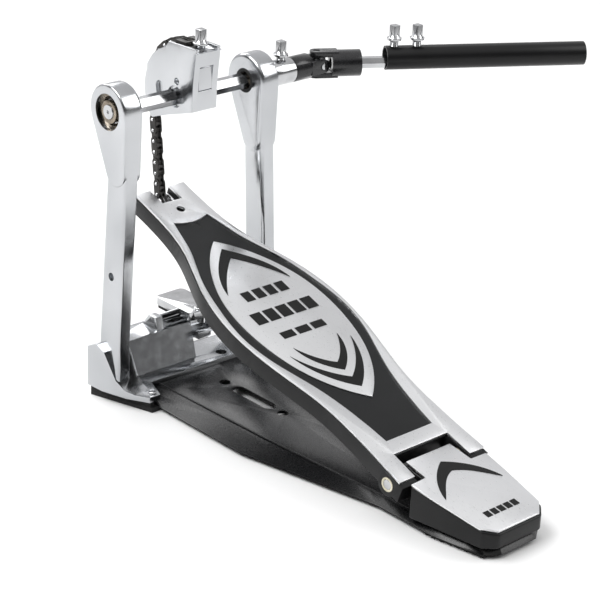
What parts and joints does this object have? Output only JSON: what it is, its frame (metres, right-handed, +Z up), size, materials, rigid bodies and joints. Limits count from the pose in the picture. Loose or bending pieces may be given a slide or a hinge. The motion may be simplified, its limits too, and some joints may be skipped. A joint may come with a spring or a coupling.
{
  "type": "bass drum pedal (remote side)",
  "caption": "Foot pedal with a hinged board, chain and cam on a hexagonal shaft between two posts, and a jointed drive tube.",
  "frame": {"origin": "floor point straight below the middle of the camshaft", "axes": "+X along the camshaft towards the drive tube, +Y from the heel to the toe, +Z up"},
  "size_m": [0.387, 0.3775, 0.2649],
  "materials": {
    "black_steel": "satin black paint",
    "black_alloy": "satin black powder coat",
    "black_print": "matt black film",
    "black_rubber": "matt",
    "cast_alloy": "bright plated casting",
    "bright_steel": "bright nickel plate",
    "brushed_plate": "brushed along the length",
    "pale_brass": "turned"
  },
  "bodies": {
    "frame": {"base_plate": "black_steel", "front_pad": "black_rubber", "heel_pad": "black_rubber", "frame_casting": "cast_alloy", "left_post": "cast_alloy", "right_post": "cast_alloy", "post_bolts": "bright_steel", "frame_pins": "bright_steel", "bearing_outers": "bright_steel", "bearing_balls": "bright_steel", "shaft_seals": "black_rubber", "heel_block": "black_alloy", "heel_plate": "brushed_plate", "heel_chevron": "black_print", "hinge_pin": "bright_steel", "jaw_pin": "bright_steel"},
    "board": {"board_frame": "black_alloy", "board_deck": "brushed_plate", "recess_panel": "black_print", "lens_inlay": "brushed_plate", "lens_chevrons": "black_print", "hinge_bushes": "pale_brass", "clevis": "bright_steel", "clevis_pin": "bright_steel", "clevis_screw": "black_steel"},
    "camshaft": {"hex_shaft": "bright_steel", "shaft_end_ring": "bright_steel", "drive_collar": "bright_steel", "bearing_inners": "bright_steel", "cam": "cast_alloy", "cam_clamp": "cast_alloy", "cam_key_bolt": "bright_steel", "chain_anchor": "black_steel", "wrapped_chain": "black_steel", "input_yoke": "black_steel", "yoke_key_bolt": "bright_steel"},
    "link_4": {"chain_link_4": "black_steel"},
    "link_3": {"chain_link_3": "black_steel"},
    "link_2": {"chain_link_2": "black_steel"},
    "link_1": {"chain_link_1": "black_steel"},
    "chain": {"chain_run": "black_steel", "chain_eye": "black_steel"},
    "cross": {"joint_cross": "bright_steel"},
    "output": {"output_yoke": "black_steel", "drive_rod": "bright_steel"},
    "tube": {"drive_tube": "black_steel", "tube_key_bolts": "bright_steel"},
    "jaw": {"hoop_jaw": "bright_steel", "jaw_rubber": "black_rubber", "clamp_key_bolt": "bright_steel"}
  },
  "joints": [
    {"name": "board_hinge", "type": "hinge", "parent": "frame", "child": "board", "pos_m": [0, -0.2565, 0.027], "axis": [-1, 0, 0], "range_deg": [0, 5.75], "stiffness_Nm_per_rad": 5, "springref_deg": -11.46},
    {"name": "camshaft_turn", "type": "hinge", "parent": "frame", "child": "camshaft", "pos_m": [0, 0, 0.2145], "axis": [-1, 0, 0], "range_deg": [0, 43.5]},
    {"name": "link_4_turn", "type": "hinge", "parent": "camshaft", "child": "link_4", "pos_m": [0, 0.0276, 0.23989], "axis": [1, 0, 0], "range_deg": [0, 6.14]},
    {"name": "link_3_turn", "type": "hinge", "parent": "camshaft", "child": "link_3", "pos_m": [0, 0.031, 0.23577], "axis": [1, 0, 0], "range_deg": [0, 18.39]},
    {"name": "link_2_turn", "type": "hinge", "parent": "camshaft", "child": "link_2", "pos_m": [0, 0.03347, 0.23224], "axis": [1, 0, 0], "range_deg": [0, 30.64]},
    {"name": "link_1_turn", "type": "hinge", "parent": "camshaft", "child": "link_1", "pos_m": [0, 0.03562, 0.22862], "axis": [1, 0, 0], "range_deg": [0, 42.88]},
    {"name": "chain_run_turn", "type": "hinge", "parent": "camshaft", "child": "chain", "pos_m": [0, 0.03668, 0.2265], "axis": [1, 0, 0], "range_deg": [0, 49.01]},
    {"name": "cross_swing", "type": "hinge", "parent": "camshaft", "child": "cross", "pos_m": [0.1236, 0, 0.2145], "axis": [0, 1, 0], "range_deg": [0, 22.1]},
    {"name": "output_swing", "type": "hinge", "parent": "cross", "child": "output", "pos_m": [0.1236, 0, 0.2145], "axis": [0, 0, 1], "range_deg": [0, 8.95]},
    {"name": "tube_slide", "type": "slide", "parent": "output", "child": "tube", "axis": [0.8616, -0.5075, 0], "range_m": [0, 0.035]},
    {"name": "jaw_hinge", "type": "hinge", "parent": "frame", "child": "jaw", "pos_m": [0, 0.006, 0.044], "axis": [1, 0, 0], "range_deg": [-12, 4]}
  ],
  "couplings": [
    {"joint": "camshaft_turn", "follows": "board_hinge", "ratio": 7.5619},
    {"joint": "link_4_turn", "follows": "board_hinge", "ratio": 1.0649},
    {"joint": "link_3_turn", "follows": "board_hinge", "ratio": 3.1947},
    {"joint": "link_2_turn", "follows": "board_hinge", "ratio": 5.3245},
    {"joint": "link_1_turn", "follows": "board_hinge", "ratio": 7.4544},
    {"joint": "chain_run_turn", "follows": "board_hinge", "ratio": 8.5193},
    {"joint": "cross_swing", "follows": "board_hinge", "ratio": 3.8372},
    {"joint": "output_swing", "follows": "board_hinge", "ratio": 1.5462}
  ]
}
